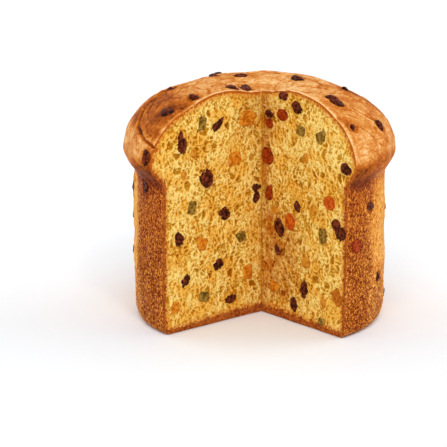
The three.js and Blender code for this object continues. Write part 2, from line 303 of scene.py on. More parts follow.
def fold_parts(turn, climb, r):
    """For each fold: how far a point is from its line, in widths, whether it is below it, and its
    depth there, which runs out towards both ends."""
    per_turn = np.radians(np.maximum(r, 8))
    calm = clamp01(r / FOLD_CALM_R) ** 1.5
    sway = calm * (1.6 * np.sin(turn / 5.7 + 1.2) + 0.9 * np.sin(turn / 2.6 - climb / 6))
    lean = 1.6 * np.sin(climb / 3.7 + turn / 21)
    for places, depth, width, sways in FOLDS:
        nearest = 1e3
        below = 0.0
        passed = 0.0
        total = 0.0
        for start, end in zip(places, places[1:]):
            ax = wrap(turn + sways * lean - start[0]) * per_turn
            ay = (climb + sways * sway - start[1]) * MM_PER_CLIMB
            bx = (end[0] - start[0]) * per_turn
            by = (end[1] - start[1]) * MM_PER_CLIMB
            along = clamp01((ax * bx + ay * by) / (bx * bx + by * by))
            away = np.hypot(ax - along * bx, ay - along * by) / width
            length = np.hypot(bx, by)
            closer = away < nearest
            below = np.where(closer, ay - along * by < 0, below)
            passed = np.where(closer, total + along * length, passed)
            nearest = np.minimum(nearest, away)
            total = total + length
        run_out = step(0, FOLD_END, passed) * step(0, FOLD_END, total - passed)
        yield nearest, below, depth * run_out * (0.8 + 0.2 * np.sin(passed / 5.0))


def fold_relief(turn, climb, r):
    relief = 0.0
    for away, below, depth in fold_parts(turn, climb, r):
        relief = relief - depth * np.exp(-away * away)
        relief = relief + 0.5 * depth * np.where(below, 1, 0.35) * np.exp(-((away - 2) ** 2))
    return relief


def unevenness(x, y, z):
    return (
        0.45 * np.sin(x / 17 + 1.3) * np.sin(y / 19 - 0.4)
        + 0.35 * np.sin((x + y) / 11 + z / 23) * np.sin((x - y) / 13 + 2.1)
        + 0.25 * np.sin(z / 9 + x / 31 + 0.8)
    )


STRETCHES = ("round", "wall", "rim", "dome")


def profile(level, turn):
    """Radius and height of the outline. A level's whole part picks the stretch, and the rest is how
    far up it."""
    level, turn = np.broadcast_arrays(np.asarray(level, float), np.asarray(turn, float))
    stretch = np.floor(level)
    u = level - stretch
    wall = wall_radius(turn)
    reach = rim_radius(turn)
    quarter = u * math.pi / 2
    power = 2 / (DOME_POWER + swell(SQUARER, turn))
    dome_r = reach * np.maximum(np.cos(quarter), 0) ** power
    dome_z = RIM_Z + (DOME_Z - RIM_Z) * np.sin(quarter) ** power
    dome_z = dome_z - DIMPLE_DEPTH * np.exp(-((dome_r / DIMPLE_R) ** 2))
    places = {
        "round": (wall - BASE_IN * (1 - np.sin(quarter)), BASE_ROUND * (1 - np.cos(quarter))),
        "wall": (wall + WALL_BARREL * np.sin(u * math.pi), BASE_ROUND + u * (UNDER_RIM_Z - BASE_ROUND)),
        "rim": (wall + (reach - wall) * u * u * (3 - 2 * u), UNDER_RIM_Z + u * (RIM_Z - UNDER_RIM_Z)),
        "dome": (dome_r, dome_z),
    }
    picked = [stretch == k for k in range(len(STRETCHES))]
    return tuple(np.select(picked, [places[name][k] for name in STRETCHES]) for k in (0, 1))


def outside(level, turn):
    """Points of the loaf's outside, with its folds and slow unevenness."""
    level, turn = np.broadcast_arrays(np.asarray(level, float), np.asarray(turn, float))
    r, z = profile(level, turn)
    x = r * np.sin(np.radians(turn))
    y = -r * np.cos(np.radians(turn))
    on_dome = level >= 3
    climb = (level - 3) * 90
    fold = np.where(on_dome, fold_relief(turn, climb, r), 0)
    relief = (unevenness(x, y, z) + fold) * clamp01(z / 20)
    up = np.where(on_dome, np.sin(np.radians(climb)), 0)
    grown = 1 + relief * np.sqrt(1 - up * up) / np.maximum(r, 1e-6)
    grown = np.where(r < 1e-6, 1, grown)
    return np.stack([x * grown, y * grown, z + relief * up], axis=-1)


SPANS = {"wall": (BASE_ROUND, UNDER_RIM_Z), "rim": (UNDER_RIM_Z, RIM_Z), "dome": (0, 90)}


def fruit_level(stretch, climb):
    low, high = SPANS[stretch]
    return STRETCHES.index(stretch) + (climb - low) / (high - low)


def fruit_spot(turn, stretch, climb, *_):
    """Where the middle of a piece on the outside lies."""
    return outside(fruit_level(stretch, climb), turn)


def outside_fruit():
    """The listed raisins of the outside and those drawn for the back, as in the solid."""
    state = FRUIT_SEED

    def draw(low, high):
        nonlocal state
        state = state * 16807 % 2147483647
        return low + (high - low) * state / 2147483647

    found = list(OUTSIDE_FRUIT)
    taken = [fruit_spot(*row) for row in found]
    for stretch, wanted, turns, climbs in BACK_FRUIT:
        while wanted > 0:
            turn = draw(*turns)
            climb = draw(*climbs)
            at = fruit_spot(turn, stretch, climb)
            if any(np.linalg.norm(other - at) < FRUIT_GAP for other in taken):
                continue
            taken.append(at)
            found.append((turn, stretch, climb, "raisin", draw(8, 12), draw(6, 8), draw(0, 180)))
            wanted -= 1
    return found


CRUST_FRUIT = outside_fruit()
FRUIT_SPOTS = [fruit_spot(*row) for row in CRUST_FRUIT]


def fruit_distance(points):
    """How far each point is from the nearest raisin of the outside."""
    best = np.full(len(points), 1e9)
    for spot in FRUIT_SPOTS:
        best = np.minimum(best, np.linalg.norm(points - spot, axis=1))
    return best


def place_on_dome(points):
    """Turn, radius and climb of points on or near the outside."""
    r = np.hypot(points[:, 0], points[:, 1])
    turn = np.degrees(np.arctan2(points[:, 0], -points[:, 1]))
    dimple = DIMPLE_DEPTH * np.exp(-((r / DIMPLE_R) ** 2))
    rise = clamp01((points[:, 2] + dimple - RIM_Z) / (DOME_Z - RIM_Z))
    reach = clamp01(r / rim_radius(turn))
    power = (DOME_POWER + swell(SQUARER, turn)) / 2
    climb = np.degrees(np.arctan2(rise**power, reach**power))
    return turn, r, climb


def crust_detail(points):
    """Fine relief of the crust along its normal: skin wrinkles on the dome, pits on the wall."""
    turn, r, climb = place_on_dome(points)
    z = points[:, 2]
    on_dome = step(101, 112, z)
    bent = points + 3.5 * np.stack([noise(points, 16, seed) for seed in (40, 41, 42)], axis=1)
    long_creases = creases(bent, (17, 17, 9), 1, 9)
    short_creases = creases(bent, (8, 8, 4), 2, 7)
    high = step(20, 45, climb)
    skin = 0.55 * layered(points, 15, 2, 3)
    skin -= (0.12 + 0.42 * high) * long_creases * step(-0.2, 0.3, noise(points, 31, 4))
    skin -= (0.02 + 0.16 * high) * short_creases * step(-0.3, 0.4, noise(points, 19, 5))
    skin += 0.07 * noise(points, 2.6, 6)
    pit_far, _, pit_mark = nearest_cells(points, (2.6, 2.6, 4.0), 60)
    pits = step(0.52, 0.12, pit_far) * step(0.45, 0.8, pit_mark)
    wall = 0.42 * layered(points, (7, 7, 11), 3, 7) - 0.55 * pits
    wall += 0.12 * noise(points, 2.2, 8)
    lip = fruit_distance(points)
    seat = 0.5 * np.exp(-(((lip - 6.5) / 2.2) ** 2)) - 0.5 * step(6, 3, lip)
    return (on_dome * skin + (1 - on_dome) * wall + seat) * clamp01(z / 5)


# Meshes from arrays
def link(item):
    bpy.context.scene.collection.objects.link(item)


def vertex_normals(co, tris):
    a, b, c = co[tris[:, 0]], co[tris[:, 1]], co[tris[:, 2]]
    face = np.cross(b - a, c - a)
    total = np.zeros_like(co)
    for corner in range(3):
        for axis in range(3):
            total[:, axis] += np.bincount(tris[:, corner], face[:, axis], len(co))
    return total / np.maximum(np.linalg.norm(total, axis=1, keepdims=True), 1e-12)


def make_object(name, co, tris, materials, index=None):
    """An object from points in millimetres and triangles; index gives each triangle's material."""
    mesh = bpy.data.meshes.new(name)
    mesh.vertices.add(len(co))
    mesh.vertices.foreach_set("co", (co * MM).astype(np.float32).ravel())
    mesh.loops.add(3 * len(tris))
    mesh.loops.foreach_set("vertex_index", tris.astype(np.int32).ravel())
    mesh.polygons.add(len(tris))
    mesh.polygons.foreach_set("loop_start", np.arange(0, 3 * len(tris), 3, dtype=np.int32))
    for material in materials:
        mesh.materials.append(material)
    if index is not None:
        mesh.polygons.foreach_set("material_index", index.astype(np.int32))
    mesh.update(calc_edges=True)
    mesh.validate()
    made = bpy.data.objects.new(name, mesh)
    link(made)
    return made


def points_of(mesh):
    co = np.zeros(3 * len(mesh.vertices), np.float32)
    mesh.vertices.foreach_get("co", co)
    return co.reshape(-1, 3).astype(float) / MM


def edges_of(mesh):
    ends = np.zeros(2 * len(mesh.edges), np.int32)
    mesh.edges.foreach_get("vertices", ends)
    return ends.reshape(-1, 2)


def set_attribute(mesh, name, values):
    found = mesh.attributes.get(name) or mesh.attributes.new(name, "FLOAT", "POINT")
    found.data.foreach_set("value", np.asarray(values, np.float32))


def get_attribute(mesh, name):
    values = np.zeros(len(mesh.vertices), np.float32)
    mesh.attributes[name].data.foreach_get("value", values)
    return values.astype(float)


def cut(target, tool, operation):
    """Gives target the mesh that a Boolean of it with tool leaves, and removes tool."""
    change = target.modifiers.new("cut", "BOOLEAN")
    change.operation = operation
    change.solver = "MANIFOLD"
    change.object = tool
    graph = bpy.context.evaluated_depsgraph_get()
    mesh = bpy.data.meshes.new_from_object(target.evaluated_get(graph))
    target.modifiers.clear()
    target.data = mesh
    bpy.data.objects.remove(tool)


def cavity_of(mesh, rounds):
    """How far each vertex lies under its smoothed surroundings, in millimetres."""
    edges = edges_of(mesh)
    co = points_of(mesh)
    count = np.bincount(edges.ravel(), minlength=len(co))[:, None]
    flat = co.copy()
    for _ in range(rounds):
        total = np.zeros_like(flat)
        for axis in range(3):
            for one, other in ((0, 1), (1, 0)):
                total[:, axis] += np.bincount(edges[:, one], flat[edges[:, other], axis], len(co))
        flat = 0.5 * flat + 0.5 * total / np.maximum(count, 1)
    normals = np.zeros(3 * len(co), np.float32)
    mesh.vertices.foreach_get("normal", normals)
    return np.sum((flat - co) * normals.reshape(-1, 3), axis=1)


# The whole loaf, before the wedge is cut out
BASE_RING_SHRINK = 0.78


def stitch(lower, lower_count, upper, upper_count):
    """Triangles between two rings, the upper with as many points as the lower or half as many."""
    j = np.arange(upper_count)
    after = (j + 1) % upper_count
    if lower_count == upper_count:
        a, b = lower + j, lower + after
        c, d = upper + after, upper + j
        return [np.stack([a, b, c], 1), np.stack([a, c, d], 1)]
    a, b, c = lower + 2 * j, lower + 2 * j + 1, lower + (2 * j + 2) % lower_count
    d, e = upper + j, upper + after
    return [np.stack([a, b, d], 1), np.stack([b, c, e], 1), np.stack([b, e, d], 1)]


def ring_levels():
    """Levels that are evenly spaced along the outline."""
    fine = np.linspace(0, 4 - 1e-4, 6001)
    r, z = profile(fine, 0)
    length = np.concatenate([[0], np.cumsum(np.hypot(np.diff(r), np.diff(z)))])
    return np.interp(np.arange(0, length[-1] - CRUST_STEP, CRUST_STEP), length, fine)


def whole_loaf():
    parts, starts, counts, tris = [], [], [], []
    total = 0

    def add_ring(points):
        nonlocal total
        parts.append(points)
        starts.append(total)
        counts.append(len(points))
        total += len(points)

    levels = ring_levels()
    count = TURNS
    for level in levels:
        around = 2 * math.pi * float(profile(level, 0)[0])
        if around / count < 0.6 * CRUST_STEP and count >= LEAST_TURNS:
            count //= 2
        turn = np.arange(count) * 360.0 / count - 180.0
        add_ring(outside(np.full(count, level), turn))
    top_rings = len(parts)
    base = parts[0].copy()
    while len(base) > LEAST_TURNS:
        base = base[::2] * np.array([BASE_RING_SHRINK, BASE_RING_SHRINK, 0])
        add_ring(base)
    co = np.concatenate(parts + [[[0, 0, DOME_Z - DIMPLE_DEPTH]], [[0, 0, 0]]])
    co[: counts[0], 2] = 0
    for k in range(top_rings - 1):
        tris += stitch(starts[k], counts[k], starts[k + 1], counts[k + 1])
    base_order = [0, *range(top_rings, len(starts))]
    for low, high in zip(base_order, base_order[1:]):
        tris += [t[:, ::-1] for t in stitch(starts[low], counts[low], starts[high], counts[high])]
    for ring, middle, flip in ((top_rings - 1, total, 1), (len(starts) - 1, total + 1, -1)):
        j = np.arange(counts[ring])
        after = (j + 1) % counts[ring]
        fan = np.stack([starts[ring] + j, starts[ring] + after, np.full(len(j), middle)], 1)
        tris.append(fan[:, ::flip])
    tris = np.concatenate(tris)
    co = co + vertex_normals(co, tris) * crust_detail(co)[:, None]
    co[:, 2] = np.maximum(co[:, 2], 0)
    return co, tris


# The crumb's pores, as a depth over a grid of places out and up on a cut face. The grid reaches past
# the loaf, and the block that is cut away reaches farther out still.
FACE_OUT = 104.0
FACE_LOW = -3.0
FACE_HIGH = 166.0
FACE_MIDDLE = 80
WEDGE_FAR = 150.0


def face_outline(side):
    """The loaf's outline in the plane of a cut face, as (out, up)."""
    levels = np.linspace(0, 3.999, 500)
    turn = np.full(500, FACE_TURN[side])
    for _ in range(4):
        points = outside(levels, turn)
        x, y = points[:, 0] - CORNER_X, points[:, 1] - CORNER_Y
        error = np.degrees(np.arctan2(x, -y)) - FACE_TURN[side]
        near = np.hypot(points[:, 0], points[:, 1]) > 12
        turn = turn - np.where(near, error, 0)
    return np.stack([np.hypot(x, y), points[:, 2]], axis=1)


def side_distance(out, up, side):
    """How far places on a cut face are from the loaf's outside, less its base."""
    outline = face_outline(side)
    best = np.full_like(up, 1e3)
    for at_out, at_up in outline[::2]:
        best = np.minimum(best, np.hypot(out - at_out, up - at_up))
    return best


def rolled(x, y, roll):
    """Places turned by roll degrees."""
    c, s = math.cos(math.radians(roll)), math.sin(math.radians(roll))
    return x * c - y * s, x * s + y * c


def foam(flat, size, seed, share, low, high):
    """Depth of the open bubbles of one size: a share of them, each hollowed from low to high."""
    far, gap, mark = nearest_cells(flat, size, seed)
    chosen = clamp01((mark - (1 - share)) / share)
    hollow = np.where(mark > 1 - share, low + (high - low) * chosen, 0)
    return hollow * np.sqrt(step(0.02, 0.42, gap)) * (1 - 0.25 * clamp01(far))


def face_depth(side, fruit):
    """The depth of the cut face at each place of the grid, and the grid's places."""
    columns = int(FACE_OUT / CRUMB_STEP) + 1
    rows = int((FACE_HIGH - FACE_LOW) / CRUMB_STEP) + 1
    out = np.linspace(0, FACE_OUT, columns)
    up = np.linspace(FACE_LOW, FACE_HIGH, rows)
    grid_out, grid_up = np.meshgrid(out, up)
    flat = np.stack([grid_out.ravel(), grid_up.ravel(), np.full(grid_out.size, 70.0 * side)], 1)
    bend_out = 0.5 * noise(flat, 3.1, 20) + 1.1 * noise(flat, 10, 21)
    bend_up = 0.5 * noise(flat, 3.1, 22) + 1.1 * noise(flat, 10, 23)
    bent = flat + np.stack([bend_out, bend_up, np.zeros(len(flat))], axis=1)
    slant = 0.35 * noise(flat, 40, 19) * (flat[:, 1] - FACE_MIDDLE) * 0.12
    bent[:, 0] += slant
    wide = foam(bent, (4.8, 5.9, 4.8), 200, 0.18, 0.6, 1.7)
    middle = foam(bent, (2.5, 3.1, 2.5), 210, 0.45, 0.35, 0.9)
    small = foam(bent, (1.4, 1.8, 1.4), 220, 0.6, 0.2, 0.5)
    loose = step(-0.5, 0.5, noise(flat, 13, 25))
    depth = np.maximum(wide * (0.6 + 0.4 * loose), middle) + small * (0.7 + 0.3 * loose)
    depth = depth - 0.45 * creases(bent, (3.2, 4.2, 3.2), 24, 7)
    depth = depth - 0.38 * creases(bent, (1.7, 2.3, 1.7), 29, 6)
    depth = depth + 0.20 * noise(flat, 1.05, 27) + 0.25 * noise(bent, (2.2, 3.4, 2.2), 30)
    slow = 0.40 * layered(flat, 17, 2, 26)
    away = np.minimum(side_distance(flat[:, 0], flat[:, 1], side), flat[:, 1])
    near_crust = step(1.2, 4.5, away)
    near_corner = step(0, 2.5, flat[:, 0])
    around = np.full(len(flat), 1e3)
    for at_out, at_up, _, long, high, roll in fruit:
        across, along = rolled(bent[:, 0] - at_out - slant, bent[:, 1] - at_up, roll)
        reach = np.hypot(across / (0.5 * long), along / (0.5 * high))
        around = np.minimum(around, (reach - 1) * 0.25 * (long + high))
    pocket = np.exp(-(((around - 0.2) / 0.8) ** 2)) * (0.5 + 0.5 * noise(flat, 6, 28))
    open_crumb = near_crust * (0.3 + 0.7 * near_corner) * step(-0.5, 1.2, around)
    depth = depth * open_crumb + 0.25 * pocket + slow * (0.25 + 0.75 * near_corner)
    return depth.reshape(grid_out.shape), out, up


def direction(turn):
    """A level direction, as x and y, at a turn round the axis."""
    return np.array([math.sin(math.radians(turn)), -math.cos(math.radians(turn))])


def wedge_tool():
    """The block that is cut away. Its two inner faces carry the pores of the crumb."""
    parts, grids = [], []
    total = 0
    for side, fruit in ((-1, LEFT_FACE), (1, RIGHT_FACE)):
        depth, out, up = face_depth(side, fruit)
        grid_out, grid_up = np.meshgrid(out, up)
        if side < 0:
            points = np.stack([grid_out, -depth, grid_up], axis=2)
        else:
            points = np.stack([-depth, grid_out, grid_up], axis=2)
            parts[0][:, 0, 0] = points[:, 0, 0]
            points = points[:, 1:]
        parts.append(points)
        grids.append(total + np.arange(points.shape[0] * points.shape[1]).reshape(points.shape[:2]))
        total += points.shape[0] * points.shape[1]
    left, right = grids[0], np.concatenate([grids[0][:, :1], grids[1]], axis=1)
    corners = np.array([[WEDGE_FAR, WEDGE_FAR, up] for up in (FACE_LOW, FACE_HIGH)])
    co = np.concatenate([parts[0].reshape(-1, 3), parts[1].reshape(-1, 3), corners])
    low, high = total, total + 1

    def sheet(grid, flip):
        a, b = grid[:-1, :-1].ravel(), grid[:-1, 1:].ravel()
        c, d = grid[1:, 1:].ravel(), grid[1:, :-1].ravel()
        odd = (np.arange(len(a)) + np.arange(len(a)) // (grid.shape[1] - 1)) % 2 == 0
        one = np.where(odd[:, None], np.stack([a, b, c], 1), np.stack([a, b, d], 1))
        two = np.where(odd[:, None], np.stack([a, c, d], 1), np.stack([b, c, d], 1))
        both = np.concatenate([one, two])
        return both[:, ::-1] if flip else both

    def fan(line, tip):
        return np.stack([line[:-1], line[1:], np.full(len(line) - 1, tip)], axis=1)

    tris = [sheet(left, False), sheet(right, True)]
    for line, tip, flip in ((np.s_[0], low, -1), (np.s_[-1], high, 1), (np.s_[:, -1], low, -1)):
        tris.append(fan(left[line], tip)[:, ::flip])
        tris.append(fan(right[line], tip)[:, ::-flip])
    tris.append(np.array([[left[-1, -1], low, high], [low, right[-1, -1], high]]))
    level = np.array([CORNER_X, CORNER_Y]) + co[:, :1] * direction(FACE_TURN[-1])
    level = level + co[:, 1:2] * direction(FACE_TURN[1])
    return np.concatenate([level, co[:, 2:]], axis=1), np.concatenate(tris)


# Materials from nodes
BUMP_STRENGTH = 0.5


def add(tree, kind, inputs=(), **settings):
    made = tree.nodes.new(kind)
    for name, value in settings.items():
        setattr(made, name, value)
    for key, value in dict(inputs).items():
        if isinstance(value, bpy.types.NodeSocket):
            tree.links.new(value, made.inputs[key])
        else:
            made.inputs[key].default_value = value
    return made


def mix(tree, factor, first, second, way="MIX"):
    made = add(tree, "ShaderNodeMix", {0: factor, 6: first, 7: second}, data_type="RGBA", blend_type=way)
    return made.outputs[2]


def maths(tree, operation, first, second=0.0, clamp=False):
    made = add(tree, "ShaderNodeMath", {0: first, 1: second}, operation=operation, use_clamp=clamp)
    return made.outputs[0]


def plus(tree, total, *others, clamp=False):
    """The sum of some values, kept from 0 to 1 if clamp is set."""
    for k, other in enumerate(others):
        total = maths(tree, "ADD", total, other, clamp and k == len(others) - 1)
    return total


def times(tree, first, second):
    return maths(tree, "MULTIPLY", first, second)


def scaled(tree, value, factor, offset=0.0):
    made = add(tree, "ShaderNodeMath", {0: value, 1: factor, 2: offset}, operation="MULTIPLY_ADD")
    return made.outputs[0]


def remap(tree, value, low, high, to_low=0.0, to_high=1.0):
    given = {0: value, 1: low, 2: high, 3: to_low, 4: to_high}
    return add(tree, "ShaderNodeMapRange", given, interpolation_type="SMOOTHSTEP").outputs[0]


def ramp(tree, value, colours, positions=None):
    """Colours for a value from 0 to 1, evenly spread unless positions are given."""
    made = add(tree, "ShaderNodeValToRGB", {0: value})
    elements = made.color_ramp.elements
    while len(elements) < len(colours):
        elements.new(0.5)
    for k, colour in enumerate(colours):
        elements[k].position = positions[k] if positions else k / (len(colours) - 1)
        elements[k].color = (*colour, 1)
    return made.outputs[0]


def attribute(tree, name):
    return add(tree, "ShaderNodeAttribute", attribute_name=name).outputs["Fac"]


def loaf_place(tree, stretch=(1, 1, 1)):
    """Where a point is on the loaf, pressed together where stretch is above 1."""
    here = add(tree, "ShaderNodeTexCoord").outputs["Object"]
    given = {"Vector": here, "Scale": tuple(1 / s for s in stretch)}
    return add(tree, "ShaderNodeMapping", given).outputs[0]


def speckle(tree, size, detail=2.0, stretch=(1, 1, 1), rough=0.5):
    """Noise from 0 to 1 with grains of a size in millimetres, longer where stretch is above 1."""
    given = {"Vector": loaf_place(tree, stretch), "Scale": 1 / (size * MM)}
    given.update({"Detail": detail, "Roughness": rough})
    return add(tree, "ShaderNodeTexNoise", given).outputs[0]


def bump(tree, height, distance, normal=None):
    given = {"Height": height, "Distance": distance * MM, "Strength": BUMP_STRENGTH}
    if normal is not None:
        given["Normal"] = normal
    return add(tree, "ShaderNodeBump", given).outputs[0]


def new_material(name, roughness, specular, clear=0.0, reach=1.0, spread=(1, 1, 1)):
    """A material, its node tree and its shader. Where clear is above 0, light goes in, reach
    millimetres times the spread of its red, green and blue."""
    material = bpy.data.materials.new(name)
    material.use_nodes = True
    tree = material.node_tree
    shader = tree.nodes["Principled BSDF"]
    shader.inputs["Roughness"].default_value = roughness
    shader.inputs["Specular IOR Level"].default_value = specular
    if clear > 0:
        shader.inputs["Subsurface Weight"].default_value = clear
        shader.inputs["Subsurface Scale"].default_value = reach * MM
        shader.inputs["Subsurface Radius"].default_value = spread
    return material, tree, shader


def ridges(tree, value, sharp):
    """Thin lines where a noise passes its middle value."""
    off = maths(tree, "ABSOLUTE", scaled(tree, value, 2.0, -1.0))
    return maths(tree, "POWER", maths(tree, "SUBTRACT", 1.0, off, True), sharp)


# The crust's colours, from its palest to its darkest, on the side and on the dome.
WALL_COLOURS = [
    (0.95, 0.58, 0.15),
    (0.81, 0.345, 0.040),
    (0.57, 0.138, 0.016),
    (0.36, 0.060, 0.009),
    (0.12, 0.018, 0.003),
]
DOME_COLOURS = [
    (0.93, 0.58, 0.26),
    (0.73, 0.307, 0.066),
    (0.56, 0.148, 0.015),
    (0.34, 0.072, 0.006),
    (0.11, 0.022, 0.003),
]


def crust_material():
    material, tree, shader = new_material("baked crust", 0.55, 0.02)
    brown = attribute(tree, "brown")
    dome = attribute(tree, "dome")
    cavity = attribute(tree, "cavity")
    blotch = speckle(tree, 9, 3)
    fine = speckle(tree, 1.1, 3, (1, 1, 1.4), 0.85)
    grain = speckle(tree, 1.4, 3, (1.4, 1.4, 1), 0.8)
    wrinkle = ridges(tree, speckle(tree, 8, 2.5, (2.2, 2.2, 0.7), 0.55), 16.0)
    wrinkle = times(tree, wrinkle, remap(tree, speckle(tree, 24, 2), 0.42, 0.58))
    given = {"Vector": loaf_place(tree, (1, 1, 2.1)), "Scale": 1 / (3.0 * MM)}
    pores = add(tree, "ShaderNodeTexVoronoi", given).outputs["Distance"]
    pores = times(tree, remap(tree, pores, 0.30, 0.10), remap(tree, speckle(tree, 6, 2), 0.44, 0.58))
    flecks = remap(tree, fine, 0.36, 0.64, -1.0, 1.0)
    flecks = times(tree, flecks, remap(tree, brown, 0.28, 0.55, 0.20, 0.40))
    up = add(tree, "ShaderNodeSeparateXYZ", {0: loaf_place(tree)}).outputs[2]
    flecks = times(tree, flecks, remap(tree, up, 90 * MM, 40 * MM, 1.0, 1.35))
    tone = plus(tree, brown, remap(tree, blotch, 0.3, 0.7, -0.06, 0.06))
    # Painted shade: the side is darker in its hollows and pits and lighter on its raised bits.
    pits = remap(tree, cavity, -0.25, 0.35, -0.10, 0.3)
    wall_tone = plus(tree, tone, pits, scaled(tree, pores, 0.42), flecks, clamp=True)
    # Painted shade on the dome: darker in its hollows and along its wrinkles, which are grooves in the
    # bump, and painted light on its raised bits.
    hollows = remap(tree, cavity, -0.25, 0.35, -0.09, 0.22)
    sheen = remap(tree, speckle(tree, 7, 3, (1.6, 1.6, 1), 0.6), 0.34, 0.66, -0.12, 0.12)
    grain = remap(tree, grain, 0.36, 0.64, -0.13, 0.13)
    dome_tone = plus(tree, tone, hollows, sheen, grain, scaled(tree, wrinkle, 0.18), clamp=True)
    wall = ramp(tree, wall_tone, WALL_COLOURS)
    skin = ramp(tree, dome_tone, DOME_COLOURS)
    tree.links.new(mix(tree, dome, wall, skin), shader.inputs["Base Color"])
    tree.links.new(remap(tree, blotch, 0.3, 0.7, 0.42, 0.6), shader.inputs["Roughness"])
    relief = bump(tree, scaled(tree, wrinkle, -0.6), 0.35)
    relief = bump(tree, speckle(tree, 0.8, 3, (1, 1, 1.4)), 0.25, relief)
    tree.links.new(bump(tree, fine, 0.35, relief), shader.inputs["Normal"])
    return material


# The crumb's colours, from the walls of its pores that stand out to the depth of its pores, the
# deeper ones painted shade in the pores, and where along the depth each is.
CRUMB_COLOURS = [
    (0.96, 0.69, 0.22),
    (0.75, 0.415, 0.057),
    (0.56, 0.255, 0.015),
    (0.36, 0.125, 0.005),
]
CRUMB_DEPTHS = [0.0, 0.25, 0.55, 1.0]


def crumb_material():
    material, tree, shader = new_material("open crumb", 0.8, 0.02, 0.25, 1.2, (1.0, 0.55, 0.25))
    edge = attribute(tree, "edge")
    fine = speckle(tree, 1.0, 3)
    patch = speckle(tree, 11, 3)
    # Painted shade: darker the deeper a point lies in a pore or hollow, lighter on what stands out.
    deep = remap(tree, attribute(tree, "depth"), -0.6, 2.3)
    hollow = remap(tree, attribute(tree, "cavity"), -0.3, 0.3, -0.20, 0.25)
    deep = plus(tree, deep, hollow, remap(tree, fine, 0.3, 0.7, -0.12, 0.12), clamp=True)
    colour = ramp(tree, deep, CRUMB_COLOURS, CRUMB_DEPTHS)
    golden = remap(tree, patch, 0.42, 0.62, 0.0, 0.9)
    colour = mix(tree, golden, colour, (0.91, 0.69, 0.32, 1), "MULTIPLY")
    # Painted shade near the notch's corner and low on the right face, with some darker crumb, mottled.
    darker_crumb_and_corner_shade = remap(tree, speckle(tree, 6, 3), 0.35, 0.6, 0.35, 1.0)
    darker_crumb_and_corner_shade = times(tree, attribute(tree, "corner"), darker_crumb_and_corner_shade)
    colour = mix(tree, darker_crumb_and_corner_shade, colour, (0.62, 0.34, 0.17, 1), "MULTIPLY")
    ragged = plus(tree, edge, remap(tree, speckle(tree, 2.0, 3), 0.3, 0.7, -1.2, 1.2))
    toasted = remap(tree, ragged, 3.2, 0.2, 0.0, 0.8)
    colour = mix(tree, toasted, colour, (0.70, 0.27, 0.035, 1))
    mottle = remap(tree, speckle(tree, 1.6, 3), 0.35, 0.65)
    wall_crust = mix(tree, mottle, (0.24, 0.042, 0.008, 1), (0.50, 0.135, 0.020, 1))
    crust = mix(tree, attribute(tree, "band"), wall_crust, (0.46, 0.105, 0.010, 1))
    colour = mix(tree, remap(tree, ragged, 0.4, -0.3), colour, crust)
    tree.links.new(colour, shader.inputs["Base Color"])
    tree.links.new(bump(tree, fine, 0.35), shader.inputs["Normal"])
    return material


# Each kind of fruit: its colours by mottling and shade, which is painted shade in a raisin's folds,
# from pale to dark, its roughness, how clear it is and how red, green and blue light spread in it.
FRUIT_LOOKS = {
    "raisin": ([(0.22, 0.04, 0.013), (0.085, 0.015, 0.006), (0.018, 0.004, 0.002)], 0.38),
    "cherry": ([(0.4, 0.055, 0.006), (0.26, 0.024, 0.003), (0.1, 0.01, 0.002)], 0.38, 0.3, (1, 0.2, 0.1)),
    "amber": ([(0.66, 0.14, 0.01), (0.52, 0.075, 0.005), (0.3, 0.036, 0.003)], 0.38, 0.3, (1, 0.35, 0.1)),
    "orange": ([(0.76, 0.29, 0.022), (0.62, 0.175, 0.008), (0.4, 0.095, 0.005)], 0.38, 0.3, (1, 0.45, 0.1)),
    "toffee": ([(0.56, 0.17, 0.012), (0.44, 0.11, 0.006), (0.28, 0.06, 0.004)], 0.38, 0.3, (1, 0.4, 0.1)),
    "soft": ([(0.68, 0.29, 0.026), (0.55, 0.185, 0.01), (0.38, 0.115, 0.006)], 0.45, 0.3, (1, 0.5, 0.15)),
    "citron": (
        [(0.38, 0.215, 0.034), (0.205, 0.105, 0.012), (0.082, 0.038, 0.006)], 0.38, 0.25, (0.8, 0.9, 0.3)
    ),
}


def fruit_material(name, colours, roughness, clear=0.0, spread=(1, 1, 1)):
    """Moist, mottled fruit, which lets light in where it is clear."""
    material, tree, shader = new_material(name, roughness, 0.05 if clear else 0.04, clear, 2.0, spread)
    mottle = remap(tree, speckle(tree, 2.0, 3), 0.3, 0.7)
    tone = plus(tree, mottle, attribute(tree, "shade"), clamp=True)
    tree.links.new(ramp(tree, tone, colours), shader.inputs["Base Color"])
    tree.links.new(bump(tree, speckle(tree, 0.8, 3), 0.3), shader.inputs["Normal"])
    return material


CRUST = crust_material()
CRUMB = crumb_material()


# The loaf: the whole form less the wedge, then parted so that no piece has too many triangles
def cut_face_frame(points, side):
    """Out, up and depth of points from the plane of a cut face."""
    turn = math.radians(FACE_TURN[side])
    x, y = points[:, 0] - CORNER_X, points[:, 1] - CORNER_Y
    out = x * math.sin(turn) - y * math.cos(turn)
    depth = side * (x * math.cos(turn) + y * math.sin(turn))
    return out, points[:, 2], depth


